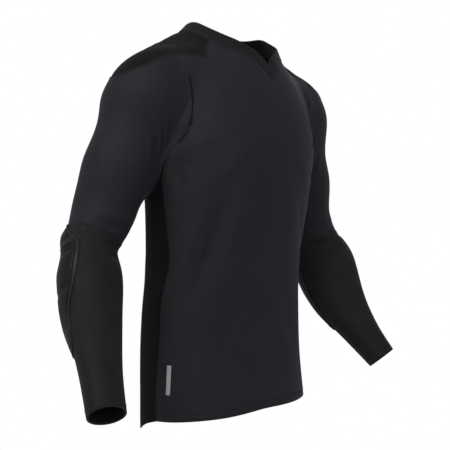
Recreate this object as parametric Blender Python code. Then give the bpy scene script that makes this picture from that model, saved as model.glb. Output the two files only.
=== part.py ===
"""A padded compression shirt, hollow as if it were worn, with its arms a little forward.

Metres. +Z is up, the front faces -Y and the wearer's left is +X. The origin lies on the
centre line, level with the points where the collar crosses the tops of the shoulders.

The shirt lies on a general figure: a torso of oval rings, a round bar for the shoulders and
an arm of oval rings, blended where they meet. Seams are short rows of points laid on that
figure. Each panel fills the space between its seams, and both panels at a seam start from
the same points, so that they meet with an even gap. One side is worked out and mirrored.
"""
import math

import bpy
import numpy as np

# Walls and gaps
KNIT = 0.0014
MESH_KNIT = 0.0012
COLLAR_WALL = 0.0022
COLLAR_RISE = 0.0010
FOLDED_EDGE = 0.0024
SEAM_GAP = 0.0003
SHARPEST_CORNER = 0.10
SHOULDER_PAD_RISE = 0.0032
ELBOW_TRIM = 0.0022
ELBOW_PAD_EDGE = 0.0030
LABEL_SIZE = (0.008, 0.050, 0.0007)

# Heights on the axis of the arm, where the sleeve is cut
ELBOW_SEAM = -0.3765
CUFF = -0.6305

# How softly the parts of the figure run into each other
SHOULDER_BLEND = 0.045
ARM_BLEND = 0.036
# Size on the torso's slanted sides that makes up for distances read level
TORSO_SLANT = 0.97
# Points read for each row of a table that is run through smoothly
FINE = 12

# How far up and down its axis the arm's run is read
AXIS_REACH = 0.006

# height, half width, depth in front, depth behind, squareness
TORSO = np.array([
    (-0.800, 0.170, 0.107, 0.124, 2.30),
    (-0.690, 0.169, 0.099, 0.130, 2.30),
    (-0.600, 0.167, 0.083, 0.136, 2.30),
    (-0.520, 0.165, 0.081, 0.133, 2.30),
    (-0.450, 0.160, 0.089, 0.124, 2.30),
    (-0.380, 0.161, 0.103, 0.117, 2.30),
    (-0.310, 0.165, 0.120, 0.113, 2.30),
    (-0.240, 0.170, 0.131, 0.115, 2.35),
    (-0.180, 0.167, 0.129, 0.114, 2.40),
    (-0.130, 0.154, 0.121, 0.108, 2.30),
    (-0.090, 0.135, 0.110, 0.100, 2.12),
    (-0.055, 0.107, 0.096, 0.088, 2.00),
    (-0.020, 0.084, 0.076, 0.074, 2.00),
    (0.030, 0.074, 0.055, 0.060, 2.00),
])

# x, y, z, radius of the bar that carries the shoulders
SHOULDER = np.array([
    (0.045, 0.022, -0.054, 0.056),
    (0.110, 0.028, -0.067, 0.041),
    (0.194, 0.016, -0.153, 0.058),
])

# x, y, z of the arm's axis, wide radius, thin radius
ARM = np.array([
    (0.122, -0.021, -0.095, 0.039, 0.038),
    (0.174, -0.016, -0.125, 0.054, 0.053),
    (0.198, 0.006, -0.190, 0.052, 0.054),
    (0.229, 0.020, -0.270, 0.058, 0.060),
    (0.241, 0.026, -0.310, 0.053, 0.054),
    (0.254, 0.029, -0.350, 0.049, 0.053),
    (0.272, 0.027, -0.392, 0.056, 0.041),
    (0.284, 0.003, -0.445, 0.064, 0.045),
    (0.296, -0.024, -0.510, 0.055, 0.040),
    (0.313, -0.071, -0.580, 0.038, 0.031),
    (0.330, -0.119, -0.640, 0.029, 0.028),
    (0.343, -0.157, -0.690, 0.026, 0.026),
])
WIDE_WAY = np.array([0.75, -0.66, 0.0])

# Seams, from points x, y, z that are laid on the figure
HEM_FRONT = [
    (0.000, -0.104, -0.680), (0.086, -0.092, -0.684), (0.144, -0.062, -0.686), (0.168, -0.008, -0.691),
]
HEM_SIDE = [(0.168, -0.008, -0.691), (0.168, 0.025, -0.702), (0.160, 0.064, -0.720)]
HEM_BACK = [
    (0.000, 0.125, -0.722), (0.080, 0.118, -0.722), (0.130, 0.094, -0.721), (0.160, 0.064, -0.720),
]
SIDE_SEAM_FRONT = [
    (0.168, -0.008, -0.691), (0.167, -0.008, -0.620), (0.164, -0.014, -0.550), (0.161, -0.016, -0.480),
    (0.156, -0.030, -0.420), (0.161, -0.026, -0.355), (0.168, -0.026, -0.295), (0.173, -0.043, -0.241),
]
SIDE_SEAM_BACK = [
    (0.160, 0.064, -0.720), (0.157, 0.062, -0.620), (0.155, 0.060, -0.520), (0.151, 0.056, -0.430),
    (0.153, 0.055, -0.340), (0.160, 0.057, -0.290), (0.166, 0.058, -0.242),
]
UNDERARM = [
    (0.173, -0.043, -0.241), (0.175, -0.030, -0.268), (0.176, -0.010, -0.297), (0.177, 0.012, -0.308),
    (0.176, 0.034, -0.300), (0.171, 0.050, -0.272), (0.166, 0.058, -0.242),
]
ARMHOLE_FRONT = [
    (0.173, -0.043, -0.241), (0.162, -0.058, -0.223), (0.151, -0.073, -0.199), (0.145, -0.076, -0.161),
    (0.142, -0.068, -0.134), (0.148, -0.063, -0.116), (0.150, -0.055, -0.092), (0.152, -0.049, -0.080),
]
ARMHOLE_BACK = [
    (0.166, 0.058, -0.242), (0.160, 0.063, -0.220), (0.152, 0.068, -0.195), (0.148, 0.069, -0.160),
    (0.147, 0.060, -0.130), (0.149, 0.055, -0.105), (0.152, 0.049, -0.083),
]
COLLAR_SEAM_FRONT = [
    (0.000, -0.114, -0.1025), (0.020, -0.107, -0.079), (0.038, -0.099, -0.065), (0.055, -0.090, -0.056),
    (0.0725, -0.073, -0.048), (0.082, -0.046, -0.036),
]
COLLAR_SEAM_SIDE = [
    (0.082, -0.046, -0.036), (0.091, -0.024, -0.019), (0.095, 0.000, -0.011), (0.091, 0.024, -0.008),
    (0.084, 0.044, -0.009),
]
COLLAR_SEAM_BACK = [
    (0.084, 0.044, -0.009), (0.064, 0.063, -0.005), (0.034, 0.074, -0.002), (0.000, 0.077, -0.001),
]
PAD_NECK_FRONT = [
    (0.082, -0.046, -0.036), (0.095, -0.051, -0.055), (0.101, -0.060, -0.070), (0.106, -0.062, -0.0745),
]
PAD_NECK_BACK = [
    (0.084, 0.044, -0.009), (0.094, 0.047, -0.040), (0.101, 0.055, -0.065), (0.107, 0.058, -0.073),
]
PAD_CHEST = [(0.106, -0.062, -0.0745), (0.131, -0.053, -0.076), (0.152, -0.049, -0.080)]
PAD_BLADE = [(0.107, 0.058, -0.073), (0.131, 0.053, -0.078), (0.152, 0.049, -0.083)]
PAD_FRONT = [
    (0.152, -0.049, -0.080), (0.181, -0.049, -0.089), (0.206, -0.044, -0.100), (0.227, -0.031, -0.110),
    (0.238, -0.016, -0.116),
]
PAD_BACK = [
    (0.152, 0.049, -0.083), (0.181, 0.052, -0.092), (0.206, 0.048, -0.102), (0.227, 0.036, -0.111),
    (0.238, 0.022, -0.116),
]
PAD_END = [(0.238, -0.016, -0.116), (0.243, 0.003, -0.118), (0.238, 0.022, -0.116)]
COLLAR_TOP = [
    (0.000, -0.105, -0.078), (0.014, -0.099, -0.060), (0.030, -0.091, -0.049), (0.048, -0.080, -0.038),
    (0.064, -0.062, -0.027), (0.075, -0.034, -0.011), (0.081, 0.000, 0.006), (0.076, 0.030, 0.009),
    (0.055, 0.051, 0.011), (0.028, 0.062, 0.013), (0.000, 0.066, 0.014),
]

SHARP_DEGREES = 50

# Ends of the label's middle line
LABEL_ENDS = [(0.159, -0.031, -0.593), (0.162, -0.031, -0.6445)]
LABEL_POINTS = (3, 6)

# Cells along each kind of seam
ACROSS_NECK_END = 4
ACROSS_CHEST = 6
ACROSS_PANEL = ACROSS_NECK_END + ACROSS_CHEST
UP_SIDE = 17
UP_ARMHOLE = 8
AROUND_V = 8
ROUND_NECK_SIDE = 6
ROUND_NECK_BACK = 6
UNDER_ARM = 8
OVER_ARM = 6
DOWN_UPPER_SLEEVE = 7
UP_COLLAR = 3

# How far the upper sleeve's rows keep the way in which they leave its seams
SLEEVE_PULL = 0.35
SLEEVE_RUN = 0.25

# Rounds in which a panel's points are evened out, how far each moves them, and how many
# rounds pass before the points are laid back on the figure
EVENING_TURNS = 48
EVENING_STEP = 0.7
LAY_EVERY = 4

# How steeply a shoulder pad rises from its ends and from its long edges
PAD_END_SLOPE = 2.2
PAD_EDGE_SLOPE = 1.8

# height on the arm's axis, front edge of the elbow pad, inner edge of the pad (degrees from
# straight out towards the front), rise of the pad. The sleeve's own rings lie at these heights.
ELBOW_PAD = np.array([
    (-0.3765, -12.0, -138.0, 0.0000),
    (-0.3820, -2.0, -146.0, 0.0055),
    (-0.3900, 16.0, -151.0, 0.0088),
    (-0.4000, 36.0, -155.0, 0.0066),
    (-0.4085, 45.0, -157.0, 0.0032),
    (-0.4220, 47.0, -158.0, 0.0032),
    (-0.4400, 43.0, -158.0, 0.0058),
    (-0.4660, 36.0, -156.0, 0.0080),
    (-0.4920, 25.0, -153.0, 0.0086),
    (-0.5200, 18.0, -148.0, 0.0076),
    (-0.5460, 7.0, -141.0, 0.0032),
    (-0.5520, 4.0, -138.0, 0.0000),
])
# How far round the arm the trim along each long edge of an elbow pad reaches
TRIM_DEGREES = 6.0
# How steeply an elbow pad rises from its long edges
ELBOW_PAD_SLOPE = 2.0
CUFF_EDGES = (-15.0, -135.0)
BELOW_PAD = 4
PAD_COLUMNS = 11
OTHER_COLUMNS = 17

# Soft folds: x, y, z where each starts, bends and ends, its half width and its height.
# A trough has a height below nothing. Side 1 is the wearer's left, -1 the right, 0 both.
FOLDS = [
    # side, start, bend, end, half width, height
    (-1, (0.060, -0.120, -0.245), (0.072, -0.098, -0.380), (0.108, -0.068, -0.530), 0.020, 0.0026),
    (-1, (0.118, -0.090, -0.300), (0.140, -0.060, -0.395), (0.158, -0.026, -0.490), 0.018, 0.0026),
    (-1, (0.090, -0.108, -0.275), (0.108, -0.082, -0.390), (0.136, -0.050, -0.500), 0.015, -0.0016),
    (1, (0.040, -0.122, -0.290), (0.075, -0.095, -0.390), (0.125, -0.060, -0.470), 0.020, 0.0022),
    (1, (0.010, -0.104, -0.400), (0.060, -0.084, -0.480), (0.118, -0.060, -0.560), 0.018, -0.0018),
    (0, (0.040, 0.112, -0.330), (0.090, 0.105, -0.400), (0.145, 0.065, -0.450), 0.020, 0.0024),
    (0, (0.020, 0.122, -0.440), (0.085, 0.110, -0.500), (0.150, 0.062, -0.545), 0.020, -0.0020),
]
FOLD_STEPS = 10
FOLD_ENDS = 0.7


def smooth_rows(at, knots, rows):
    """Reads rows at places between the knots, along a smooth curve through them."""
    at = np.clip(np.asarray(at, float), knots[0], knots[-1])
    i = np.clip(np.searchsorted(knots, at, side="right") - 1, 0, len(knots) - 2)
    slope = np.gradient(rows, knots, axis=0)
    step = (knots[i + 1] - knots[i])[:, None]
    t = (at - knots[i])[:, None] / step
    start = (2 * t**3 - 3 * t**2 + 1) * rows[i] + (t**3 - 2 * t**2 + t) * slope[i] * step
    end = (-2 * t**3 + 3 * t**2) * rows[i + 1] + (t**3 - t**2) * slope[i + 1] * step
    return start + end


def lengths_along(points):
    steps = np.linalg.norm(np.diff(points[:, :3], axis=0), axis=1)
    return np.concatenate([[0.0], np.cumsum(steps)])


def spaced(rows, count):
    """Reads count + 1 rows at even steps along a smooth curve through the rows given."""
    rows = np.asarray(rows, float)
    along = lengths_along(rows)
    fine = smooth_rows(np.linspace(0.0, along[-1], FINE * count + 1), along, rows)
    along = lengths_along(fine)
    places = np.linspace(0.0, along[-1], count + 1)
    return np.stack([np.interp(places, along, column) for column in fine.T], axis=1)


SHOULDER_LINE = spaced(SHOULDER, 14)
ARM_LINE = spaced(ARM, 80)


def soft_join(a, b, reach):
    """Joins two distances so that their surfaces run smoothly into each other."""
    near = np.clip(reach - np.abs(a - b), 0.0, None) / reach
    return np.minimum(a, b) - near * near * reach / 4


def torso_distance(p):
    rings = smooth_rows(p[:, 2], TORSO[:, 0], TORSO[:, 1:])
    depth = np.where(p[:, 1] < 0, rings[:, 1], rings[:, 2])
    n = rings[:, 3]
    reach = np.hypot(p[:, 0], p[:, 1]) + 1e-9
    size = ((np.abs(p[:, 0]) / rings[:, 0]) ** n + (np.abs(p[:, 1]) / depth) ** n) ** (1 / n) + 1e-9
    return TORSO_SLANT * (reach - reach / size)


def from_line(p, line):
    """Finds each point's nearest place on a line: the way out to it, its distance and its row."""
    start, step = line[:-1], np.diff(line, axis=0)
    run = step[:, :3]
    rel = p[:, None, :] - start[None, :, :3]
    t = np.clip((rel * run).sum(-1) / (run * run).sum(-1), 0, 1)
    off = rel - t[..., None] * run
    away = np.linalg.norm(off, axis=-1)
    i = (away - start[:, 3]).argmin(axis=1)
    here = np.arange(len(p))
    row = start[i] + t[here, i, None] * step[i]
    return off[here, i], away[here, i] + 1e-9, row, run[i] / np.linalg.norm(run[i], axis=1)[:, None]


def oval_radius(way, run, row):
    """The arm's radius in the direction of each unit vector across its axis."""
    wide = WIDE_WAY - (run @ WIDE_WAY)[:, None] * run
    wide /= np.linalg.norm(wide, axis=1)[:, None]
    across = np.clip((way * wide).sum(1), -1, 1)
    return 1 / np.hypot(across / row[:, 3], np.sqrt(1 - across**2) / row[:, 4])


def figure_distance(p):
    """Distance outside the figure, for points on the wearer's left."""
    off, away, row, run = from_line(p, SHOULDER_LINE)
    trunk = soft_join(torso_distance(p), away - row[:, 3], SHOULDER_BLEND)
    off, away, row, run = from_line(p, ARM_LINE)
    arm = away - oval_radius(off / away[:, None], run, row)
    return soft_join(trunk, arm, ARM_BLEND)


def outward(p, reach=0.0015):
    """Unit vectors that point out of the figure."""
    slope = np.empty_like(p)
    for axis in range(3):
        step = np.zeros(3)
        step[axis] = reach
        slope[:, axis] = figure_distance(p + step) - figure_distance(p - step)
    slope /= 2 * reach
    return slope, slope / np.linalg.norm(slope, axis=1)[:, None]


def laid(p, turns=6):
    """Moves points onto the figure's surface."""
    p = np.array(p, float)
    shape = p.shape
    p = p.reshape(-1, 3)
    for _ in range(turns):
        slope, _ = outward(p)
        strength = np.maximum((slope * slope).sum(1), 0.05)
        move = figure_distance(p)[:, None] * slope / strength[:, None]
        size = np.linalg.norm(move, axis=1)[:, None]
        p = p - move * np.minimum(1, 0.03 / np.maximum(size, 1e-9))
    return p.reshape(shape)


def seam(rows, count):
    return laid(spaced(rows, count))


def centre_seam(start, end, count):
    """A seam on the centre line, which stays in the plane between the two sides."""
    points = spaced([start, end], count)
    for _ in range(3):
        points = laid(points, 2)
        points[:, 0] = 0.0
    return points


def joined(*seams):
    """Runs seams into one, without repeating the points where they meet."""
    return np.concatenate([seams[0]] + [s[1:] for s in seams[1:]])


def evened(grid, wrap=False):
    """Evens out a grid between its fixed edges, while it stays on the figure."""
    inner = slice(None) if wrap else slice(1, -1)
    for turn in range(EVENING_TURNS):
        beside = np.roll(grid, 1, axis=1) + np.roll(grid, -1, axis=1)
        middle = (grid[:-2] + grid[2:] + beside[1:-1]) / 4
        grid[1:-1, inner] += EVENING_STEP * (middle - grid[1:-1])[:, inner]
        if turn % LAY_EVERY == 0:
            grid[1:-1, inner] = laid(grid[1:-1, inner], 1)
    grid[1:-1, inner] = laid(grid[1:-1, inner], 3)
    return grid


def panel(bottom, top, left, right):
    """Fills the space between four seams with a grid of points on the figure."""
    u = np.linspace(0, 1, len(bottom))[None, :, None]
    v = np.linspace(0, 1, len(left))[:, None, None]
    between = (1 - v) * bottom + v * top + (1 - u) * left[:, None] + u * right[:, None]
    corners = (1 - v) * ((1 - u) * bottom[0] + u * bottom[-1]) + v * ((1 - u) * top[0] + u * top[-1])
    grid = laid(between - corners)
    grid[0], grid[-1], grid[:, 0], grid[:, -1] = bottom, top, left, right
    return evened(grid)


def cells(rows, columns, wrap=False):
    """Triangles of a grid of points, which may close on itself around a sleeve."""
    faces = []
    for i in range(rows - 1):
        for j in range(columns if wrap else columns - 1):
            k = (j + 1) % columns
            a, b, c, d = i * columns + j, i * columns + k, (i + 1) * columns + k, (i + 1) * columns + j
            faces += [(a, b, c), (a, c, d)] if (i + j) % 2 else [(a, b, d), (b, c, d)]
    return np.array(faces)


def used_only(faces, *per_point):
    """Drops the points that no face uses."""
    keep, index = np.unique(faces, return_inverse=True)
    return [index.reshape(faces.shape)] + [values[keep] for values in per_point]


def mirrored(points):
    return points * np.array([-1.0, 1.0, 1.0])


def facing_out(points, normals, faces):
    """Turns all the faces over if they look into the shirt."""
    corners = points[faces]
    way = np.cross(corners[:, 1] - corners[:, 0], corners[:, 2] - corners[:, 0])
    return faces if (way * normals[faces[:, 0]]).sum() > 0 else faces[:, ::-1]


def both_halves(points, normals, faces, inside, outside):
    """Mirrors a half panel and welds it to its twin along the centre line."""
    count = len(points)
    twin = np.arange(count) + count
    on_centre = np.abs(points[:, 0]) < 1e-7
    twin[on_centre] = np.nonzero(on_centre)[0]
    normals = np.where(on_centre[:, None], normals * np.array([0.0, 1.0, 1.0]), normals)
    normals /= np.linalg.norm(normals, axis=1)[:, None]
    whole = np.concatenate([points, mirrored(points)])
    ways = np.concatenate([normals, mirrored(normals)])
    all_faces = np.concatenate([faces, twin[faces][:, ::-1]])
    faces, whole, ways, inside, outside = used_only(
        all_faces, whole, ways, np.tile(inside, 2), np.tile(outside, 2))
    return whole, ways, faces, inside, outside


def fold_height(points):
    """How far the soft folds lift the cloth at each point, on the real left and right."""
    lift = np.zeros(len(points))
    here = np.arange(len(points))
    for side, start, bend, end, half_width, height in FOLDS:
        line = spaced([start, bend, end], FOLD_STEPS)
        for way in ((-1, 1) if side == 0 else (side,)):
            path = line * np.array([way, 1, 1])
            a, run = path[:-1], np.diff(path, axis=0)
            rel = points[:, None, :] - a[None]
            t = np.clip((rel * run).sum(-1) / (run * run).sum(-1), 0, 1)
            away = np.linalg.norm(rel - t[..., None] * run, axis=-1)
            i = away.argmin(axis=1)
            along = (i + t[here, i]) / len(run)
            fade = np.sin(np.pi * np.clip(along, 0.0, 1.0)) ** FOLD_ENDS
            lift += height * fade * np.exp(-((away[here, i] / half_width) ** 2))
    return lift


def edges_of(faces):
    """The edges that only one face uses, each in that face's own direction."""
    once = set()
    for face in faces.tolist():
        for a, b in ((face[0], face[1]), (face[1], face[2]), (face[2], face[0])):
            if (b, a) in once:
                once.discard((b, a))
            else:
                once.add((a, b))
    return sorted(once)


def opened_seams(points, normals, border):
    """Moves the points on a panel's edge in along the cloth by half of the gap at a seam."""
    inward = {}
    for a, b in border:
        for corner in (a, b):
            way = np.cross(normals[corner], points[b] - points[a])
            inward.setdefault(corner, []).append(way / np.linalg.norm(way))
    moved = points.copy()
    for corner, ways in inward.items():
        spread = max(1 + float(ways[0] @ ways[-1]), SHARPEST_CORNER)
        moved[corner] += SEAM_GAP / 2 * np.sum(ways, axis=0) / spread
    return moved


def wall(points, normals, faces, inside, outside):
    """A closed wall: the points moved in and out along their normals, joined at the edges."""
    border = edges_of(faces)
    middle = opened_seams(points, normals, border)
    outer = middle + normals * outside[:, None]
    inner = middle + normals * inside[:, None]
    count = len(points)
    sides = []
    for a, b in border:
        # Both walls at a seam are cut along the same slant, so that they lie flat to each other.
        if tuple(points[a, ::-1]) < tuple(points[b, ::-1]):
            sides += [(b, a, a + count), (b, a + count, b + count)]
        else:
            sides += [(b, a, b + count), (a, a + count, b + count)]
    return np.concatenate([outer, inner]), np.concatenate([faces, faces[:, ::-1] + count, sides])


def material(name, colour, roughness):
    made = bpy.data.materials.new(name)
    made.use_nodes = True
    shader = made.node_tree.nodes["Principled BSDF"]
    shader.inputs["Base Color"].default_value = (*colour, 1.0)
    shader.inputs["Roughness"].default_value = roughness
    shader.inputs["Metallic"].default_value = 0.0
    made.diffuse_color = (*colour, 1.0)
    return made


def add_piece(name, look, points, normals, faces, inside, outside):
    """Adds one closed piece, with the soft folds in its wall."""
    lift = fold_height(points)
    vertices, triangles = wall(points, normals, faces, inside + lift, outside + lift)
    mesh = bpy.data.meshes.new(name)
    mesh.from_pydata(vertices.tolist(), [], triangles.tolist())
    mesh.materials.append(look)
    mesh.shade_smooth()
    mesh.set_sharp_from_angle(angle=math.radians(SHARP_DEGREES))
    thing = bpy.data.objects.new(name, mesh)
    bpy.context.scene.collection.objects.link(thing)


def add_pair(name, look, points, normals, faces, inside, outside):
    """Adds a piece on the wearer's left and its twin on the right."""
    faces = facing_out(points, normals, faces)
    add_piece(f"{name}_left", look, points, normals, faces, inside, outside)
    add_piece(f"{name}_right", look, mirrored(points), mirrored(normals), faces[:, ::-1], inside, outside)


def add_whole(name, look, points, normals, faces, inside, outside):
    """Adds a piece whose two halves meet on the centre line."""
    faces = facing_out(points, normals, faces)
    add_piece(name, look, *both_halves(points, normals, faces, inside, outside))


def clear_scene():
    for thing in list(bpy.data.objects):
        bpy.data.objects.remove(thing, do_unlink=True)


class Seams:
    """The seams of one side, each laid on the figure once."""

    def __init__(self):
        self.v_edge = seam(COLLAR_SEAM_FRONT, AROUND_V)
        self.neck_side = seam(COLLAR_SEAM_SIDE, ROUND_NECK_SIDE)
        self.neck_back = seam(COLLAR_SEAM_BACK, ROUND_NECK_BACK)
        self.v_edge[0, 0] = self.neck_back[-1, 0] = 0.0
        rows = UP_SIDE + UP_ARMHOLE
        self.centre_front = centre_seam(HEM_FRONT[0], self.v_edge[0], rows - AROUND_V)
        self.centre_back = centre_seam(HEM_BACK[0], self.neck_back[-1], rows - ROUND_NECK_BACK)
        self.side_front = seam(SIDE_SEAM_FRONT, UP_SIDE)
        self.side_back = seam(SIDE_SEAM_BACK, UP_SIDE)
        self.underarm = seam(UNDERARM, UNDER_ARM)
        self.armhole_front = seam(ARMHOLE_FRONT, UP_ARMHOLE)
        self.armhole_back = seam(ARMHOLE_BACK, UP_ARMHOLE)
        self.hem_front = seam(HEM_FRONT, ACROSS_PANEL)
        self.hem_side = seam(HEM_SIDE, UNDER_ARM)
        self.hem_back = seam(HEM_BACK, ACROSS_PANEL)
        self.hem_front[0, 0] = self.hem_back[0, 0] = 0.0
        self.chest = joined(seam(PAD_NECK_FRONT, ACROSS_NECK_END), seam(PAD_CHEST, ACROSS_CHEST))
        self.blade = joined(seam(PAD_NECK_BACK, ACROSS_NECK_END), seam(PAD_BLADE, ACROSS_CHEST))
        self.pad_front = seam(PAD_FRONT, OVER_ARM)
        self.pad_back = seam(PAD_BACK, OVER_ARM)
        self.pad_end = seam(PAD_END, ROUND_NECK_SIDE)
        self.around_sleeve = joined(
            self.pad_front, self.pad_end, self.pad_back[::-1], self.armhole_back[::-1],
            self.underarm[::-1], self.armhole_front)[:-1]
        self.neck = joined(self.v_edge, self.neck_side, self.neck_back)


def hemmed(grid, folded_rows, knit):
    """The inside of a wall, with a folded edge twice as thick along some of its rows."""
    inside = np.full(grid.shape[:2], -knit)
    inside[folded_rows] = -FOLDED_EDGE
    return inside.ravel()


def add_torso(seams, looks):
    front = panel(seams.hem_front, seams.chest, joined(seams.centre_front, seams.v_edge),
                  joined(seams.side_front, seams.armhole_front))
    back = panel(seams.hem_back, seams.blade, joined(seams.centre_back, seams.neck_back[::-1]),
                 joined(seams.side_back, seams.armhole_back))
    side = panel(seams.hem_side, seams.underarm, seams.side_front, seams.side_back)
    for name, grid, look, add in (("front", front, looks["body"], add_whole),
                                  ("back", back, looks["body"], add_whole),
                                  ("side_panel", side, looks["side"], add_pair)):
        points = grid.reshape(-1, 3)
        _, normals = outward(points)
        inside = hemmed(grid, slice(0, 1), KNIT)
        add(name, look, points, normals, cells(*grid.shape[:2]), inside, np.zeros(len(points)))


def add_shoulder_pads(seams, look):
    """Saddles of padded cloth from the collar over the shoulders, crowned between their seams."""
    grid = panel(seams.neck_side, seams.pad_end, joined(seams.chest, seams.pad_front),
                 joined(seams.blade, seams.pad_back))
    rows, columns = grid.shape[:2]
    crown_up = np.minimum(1, PAD_END_SLOPE * np.sin(np.pi * np.linspace(0, 1, rows)))
    crown_across = np.minimum(1, PAD_EDGE_SLOPE * np.sin(np.pi * np.linspace(0, 1, columns)))
    rise = SHOULDER_PAD_RISE * np.clip(np.outer(crown_up, crown_across), 0, None).ravel()
    points = grid.reshape(-1, 3)
    _, normals = outward(points)
    add_pair("shoulder_pad", look, points, normals, cells(rows, columns), np.full(len(points), -KNIT), rise)


def add_collar(seams, look):
    """A band that stands up from the neck seam and meets in a V in front."""
    foot = seams.neck
    places = lengths_along(foot) / lengths_along(foot)[-1]
    along = lengths_along(np.array(COLLAR_TOP))
    top = smooth_rows(places * along[-1], along, np.array(COLLAR_TOP))
    climb = np.linspace(0, 1, UP_COLLAR + 1)[:, None, None]
    grid = (1 - climb) * foot + climb * top
    up = top - foot
    on = np.gradient(foot, axis=0)
    stand = np.cross(on, up)
    stand /= np.linalg.norm(stand, axis=1)[:, None]
    _, lying = outward(foot)
    if (stand * lying).sum() < 0:
        stand = -stand
    normals = (1 - climb) * lying + climb * stand
    normals = normals.reshape(-1, 3)
    normals /= np.linalg.norm(normals, axis=1)[:, None]
    points = grid.reshape(-1, 3)
    count = len(points)
    add_whole("collar", look, points, normals, cells(*grid.shape[:2]),
              np.full(count, COLLAR_RISE - COLLAR_WALL), np.full(count, COLLAR_RISE))


def arm_row(height):
    """The arm's table read at one height of its axis, and the way the axis runs there."""
    heights = -ARM_LINE[:, 2]
    row, ahead, behind = [
        np.array([np.interp(reach - height, heights, column) for column in ARM_LINE.T])
        for reach in (0.0, AXIS_REACH, -AXIS_REACH)]
    run = (ahead - behind)[:3]
    return row, run / np.linalg.norm(run)


def square_to_arm(normals, height):
    """Lays normals in the plane across the arm, so that two sleeves meet there evenly."""
    _, run = arm_row(height)
    normals -= (normals @ run)[:, None] * run
    normals /= np.linalg.norm(normals, axis=1)[:, None]


def arm_ring(height, degrees):
    """Points around the arm at one height of its axis, at angles from out towards the front."""
    row, run = arm_row(height)
    out = np.array([1.0, 0.0, 0.0]) - run[0] * run
    out /= np.linalg.norm(out)
    front = np.cross(run, out)
    turn = np.radians(degrees)[:, None]
    way = np.cos(turn) * out + np.sin(turn) * front
    radius = oval_radius(way, run[None], row[None])
    return row[:3] + way * radius[:, None]


def swept(start, start_way, end, end_way, count):
    """Rows between two rings, which leave the first and reach the second in the ways given."""
    t = np.linspace(0, 1, count + 1)[:, None, None]
    pull = SLEEVE_PULL * np.linalg.norm(end - start, axis=1)[:, None]
    leave = (2 * t**3 - 3 * t**2 + 1) * start + (t**3 - 2 * t**2 + t) * start_way * pull
    arrive = (-2 * t**3 + 3 * t**2) * end + (t**3 - t**2) * end_way * pull
    return leave + arrive


def add_upper_sleeves(seams, look):
    top = seams.around_sleeve
    count = len(top)
    outermost = OVER_ARM + ROUND_NECK_SIDE / 2
    ring = arm_ring(ELBOW_SEAM, (outermost - np.arange(count)) * 360 / count)
    _, normals = outward(top)
    on = np.roll(top, -1, axis=0) - np.roll(top, 1, axis=0)
    away = np.cross(on, normals)
    away /= np.linalg.norm(away, axis=1)[:, None]
    grid = swept(top, away, ring, (ring.mean(0) - top.mean(0)) / SLEEVE_RUN, DOWN_UPPER_SLEEVE)
    points = evened(grid, wrap=True).reshape(-1, 3)
    _, normals = outward(points)
    square_to_arm(normals[-count:], ELBOW_SEAM)
    add_pair("upper_sleeve", look, points, normals, cells(*grid.shape[:2], wrap=True),
             np.full(len(points), -KNIT), np.zeros(len(points)))


def lower_sleeve_grid():
    """Rings down the forearm whose first columns follow the two edges of the elbow pad."""
    below = np.linspace(0, 1, BELOW_PAD + 1)[1:]
    last = ELBOW_PAD[-1]
    rows = [tuple(row[:3]) for row in ELBOW_PAD]
    rows += [(last[0] + t * (CUFF - last[0]), last[1] + t * (CUFF_EDGES[0] - last[1]),
              last[2] + t * (CUFF_EDGES[1] - last[2])) for t in below]
    rings = []
    for height, front_edge, inner_edge in rows:
        inside_trim = np.linspace(front_edge - TRIM_DEGREES, inner_edge + TRIM_DEGREES, PAD_COLUMNS - 1)
        over_pad = np.concatenate([[front_edge], inside_trim, [inner_edge]])
        around = np.linspace(inner_edge, front_edge - 360, OTHER_COLUMNS + 1)[1:-1]
        rings.append(arm_ring(height, np.concatenate([over_pad, around])))
    return np.array(rings)


def add_lower_sleeves(grid, look):
    points = grid.reshape(-1, 3)
    _, normals = outward(points)
    square_to_arm(normals[:grid.shape[1]], ELBOW_SEAM)
    inside = hemmed(grid, slice(-1, None), MESH_KNIT)
    add_pair("lower_sleeve", look, points, normals, cells(*grid.shape[:2], wrap=True), inside,
             np.zeros(len(points)))


def add_elbow_pads(grid, pad_look, trim_look):
    """Moulded pads on the sleeves' own points, each inside a flat trim."""
    rows, columns = len(ELBOW_PAD), PAD_COLUMNS + 1
    points = grid[:rows, :columns].reshape(-1, 3)
    _, normals = outward(points)
    square_to_arm(normals[:columns], ELBOW_SEAM)
    faces = cells(rows, columns)
    cell_row = np.repeat(np.arange(rows - 1), (columns - 1) * 2)
    cell_column = np.tile(np.repeat(np.arange(columns - 1), 2), rows - 1)
    on_rim = (cell_row == 0) | (cell_row == rows - 2) | (cell_column == 0) | (cell_column == columns - 2)
    across_pad = np.clip((np.arange(columns) - 1) / (columns - 3), 0, 1)
    crown = np.clip(ELBOW_PAD_SLOPE * np.sin(np.pi * across_pad), 0, 1)
    rise = np.maximum(np.outer(ELBOW_PAD[:, 3], crown), ELBOW_PAD_EDGE).ravel()
    for name, look, chosen, top in (("elbow_pad", pad_look, ~on_rim, rise),
                                    ("elbow_trim", trim_look, on_rim, np.full(len(points), ELBOW_TRIM))):
        kept, place, way, height = used_only(faces[chosen], points, normals, top)
        add_pair(name, look, place, way, kept, np.full(len(place), SEAM_GAP), height + SEAM_GAP)


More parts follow.
